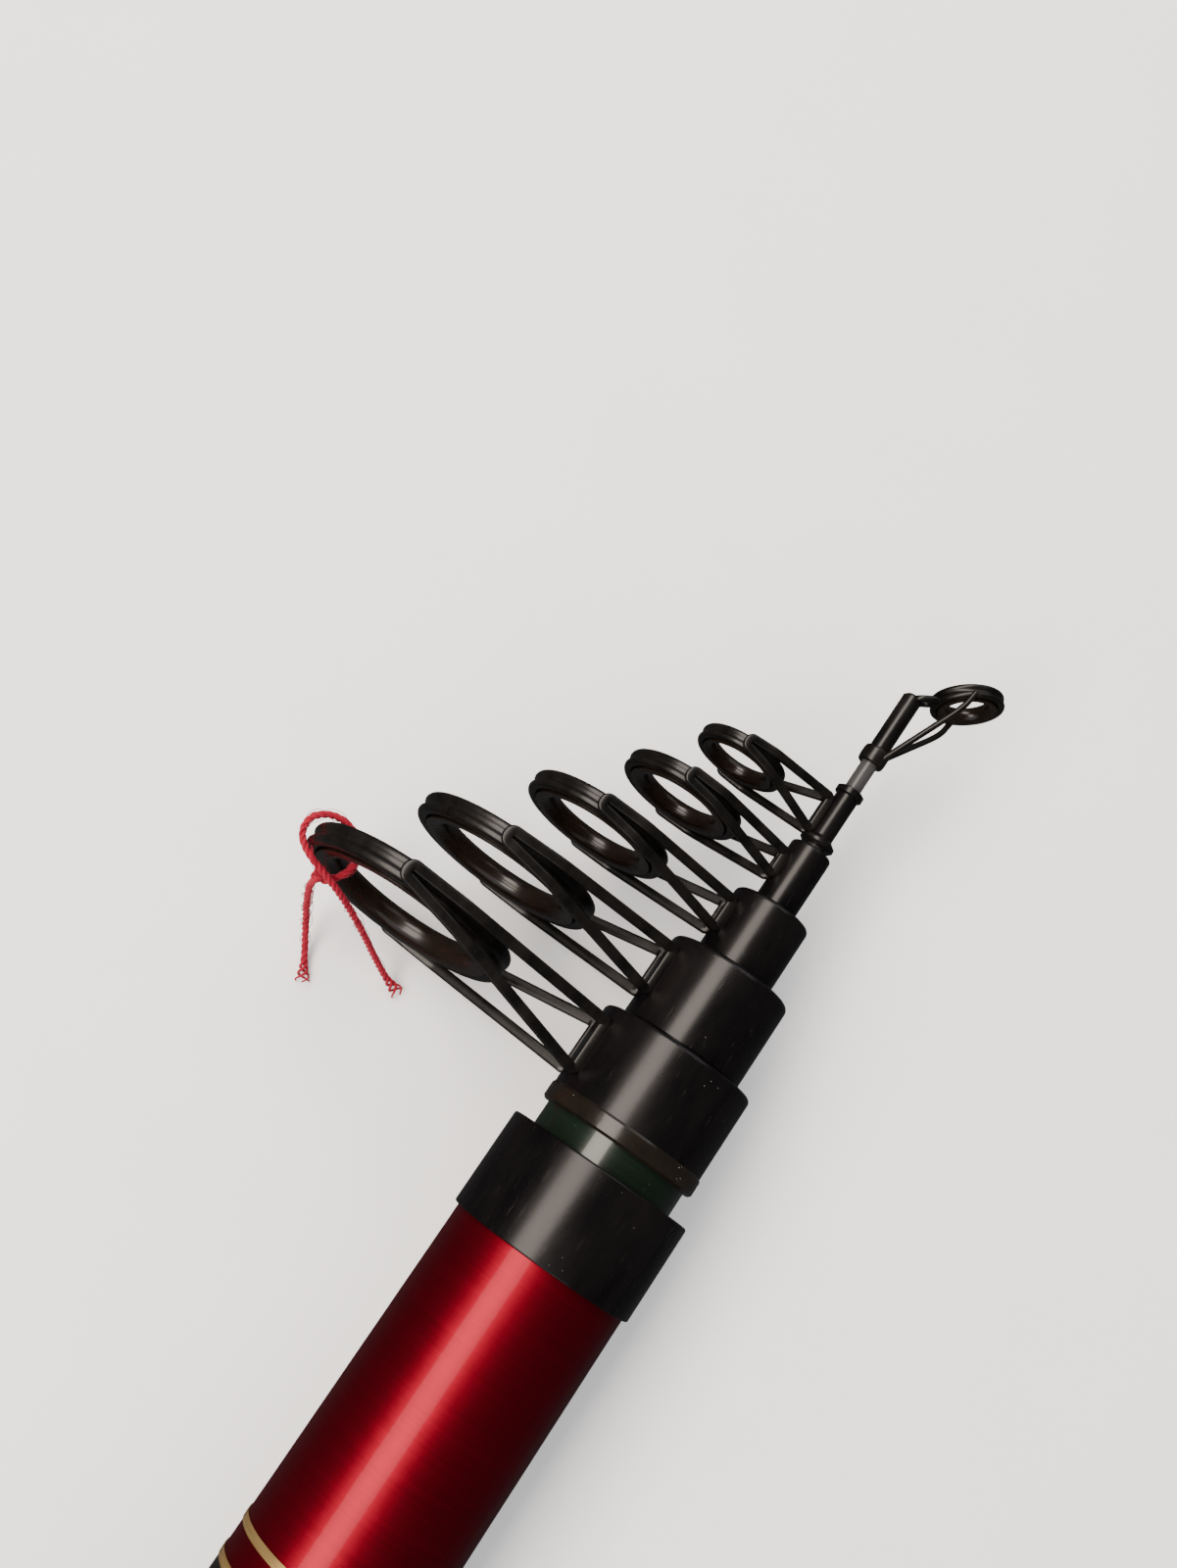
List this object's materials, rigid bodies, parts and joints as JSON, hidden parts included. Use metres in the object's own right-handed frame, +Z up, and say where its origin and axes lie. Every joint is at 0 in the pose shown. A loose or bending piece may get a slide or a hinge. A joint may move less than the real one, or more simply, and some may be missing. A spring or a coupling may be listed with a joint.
{
  "type": "telescopic fishing rod",
  "caption": "Closed telescopic fishing rod with hollow sections that slide out, ring guides on legs, a leaning tip-top, a screw-down reel seat and a screw-in butt cap.",
  "frame": {"origin": "centre of the butt cap's end face, on the rod's axis", "axes": "+X along the rod towards the tip, +Y the side of the guides and the reel foot, +Z up"},
  "size_m": [0.6169, 0.0686, 0.0328],
  "materials": {
    "red_lacquer": "deep candy red lacquer over glass fibre, with a black rear part",
    "black_gloss": "black satin-gloss moulded sleeve",
    "gold_trim": "metallic gold thread under lacquer",
    "foam": "matte black closed-cell foam",
    "ring_metal": "turned aluminium",
    "seat_plastic": "black glass-filled plastic, satin",
    "hood_metal": "brushed stainless steel, dark",
    "rubber": "black rubber",
    "green_lacquer": "very dark green gloss lacquer over glass fibre",
    "epoxy": "clear epoxy over black",
    "guide_metal": "black nickel, semi-gloss",
    "ceramic": "polished dark ceramic",
    "tip_glass": "solid glass fibre, black lacquer",
    "red_yarn": "twisted red yarn"
  },
  "bodies": {
    "butt": {"butt_blank": "red_lacquer", "mouth_collar": "black_gloss", "gold_trim_rings": "gold_trim", "rear_grip": "foam", "fore_grip": "foam", "seat_rear_ring": "ring_metal", "seat_front_ring": "ring_metal", "fore_grip_ring": "ring_metal", "reel_seat_body": "seat_plastic", "fixed_hood": "hood_metal", "cap_socket": "ring_metal"},
    "sliding_hood": {"sliding_hood": "hood_metal"},
    "lock_nut": {"lock_nut": "seat_plastic"},
    "cap_gasket": {"cap_gasket": "rubber"},
    "butt_cap": {"butt_cap": "seat_plastic", "cap_pad": "rubber"},
    "section_1": {"section_1_blank": "green_lacquer", "section_1_sleeve": "black_gloss", "section_1_guide_frame": "guide_metal", "section_1_guide_ring": "ceramic", "section_1_epoxy_lip": "epoxy", "red_thread": "red_yarn", "thread_knot": "red_yarn"},
    "section_2": {"section_2_blank": "green_lacquer", "section_2_sleeve": "black_gloss", "section_2_guide_frame": "guide_metal", "section_2_guide_ring": "ceramic"},
    "section_3": {"section_3_blank": "green_lacquer", "section_3_sleeve": "black_gloss", "section_3_guide_frame": "guide_metal", "section_3_guide_ring": "ceramic"},
    "section_4": {"section_4_blank": "green_lacquer", "section_4_sleeve": "black_gloss", "section_4_guide_frame": "guide_metal", "section_4_guide_ring": "ceramic"},
    "tip": {"tip_blank": "tip_glass", "tip_top_tube": "guide_metal", "tip_top_frame": "guide_metal", "tip_top_ring": "ceramic"},
    "floating_guide": {"floating_guide_sleeve": "black_gloss", "floating_guide_frame": "guide_metal", "floating_guide_ring": "ceramic"}
  },
  "joints": [
    {"name": "section_1_slide", "type": "slide", "parent": "butt", "child": "section_1", "axis": [1, 0, 0], "range_m": [-0.0025, 0.428]},
    {"name": "section_2_slide", "type": "slide", "parent": "section_1", "child": "section_2", "axis": [1, 0, 0], "range_m": [0, 0.454]},
    {"name": "section_3_slide", "type": "slide", "parent": "section_2", "child": "section_3", "axis": [1, 0, 0], "range_m": [0, 0.475]},
    {"name": "section_4_slide", "type": "slide", "parent": "section_3", "child": "section_4", "axis": [1, 0, 0], "range_m": [0, 0.495]},
    {"name": "tip_slide", "type": "slide", "parent": "section_4", "child": "tip", "axis": [1, 0, 0], "range_m": [0, 0.513]},
    {"name": "floating_guide_slide", "type": "slide", "parent": "tip", "child": "floating_guide", "axis": [1, 0, 0], "range_m": [-0.2565, 0]},
    {"name": "sliding_hood_slide", "type": "slide", "parent": "butt", "child": "sliding_hood", "axis": [1, 0, 0], "range_m": [-0.016, 0]},
    {"name": "lock_nut_turn", "type": "hinge", "parent": "sliding_hood", "child": "lock_nut", "pos_m": [0.237, 0, 0], "axis": [1, 0, 0], "range_deg": [0, 2880]},
    {"name": "cap_gasket_slide", "type": "slide", "parent": "butt", "child": "cap_gasket", "axis": [1, 0, 0], "range_m": [-0.012, 0]},
    {"name": "butt_cap_turn", "type": "hinge", "parent": "cap_gasket", "child": "butt_cap", "pos_m": [0.004, 0, 0], "axis": [1, 0, 0], "range_deg": [0, 2880]}
  ],
  "couplings": [
    {"joint": "floating_guide_slide", "follows": "tip_slide", "ratio": -0.5},
    {"joint": "lock_nut_turn", "follows": "sliding_hood_slide", "rad_per_m": -3141.6},
    {"joint": "butt_cap_turn", "follows": "cap_gasket_slide", "rad_per_m": -4188.8}
  ]
}
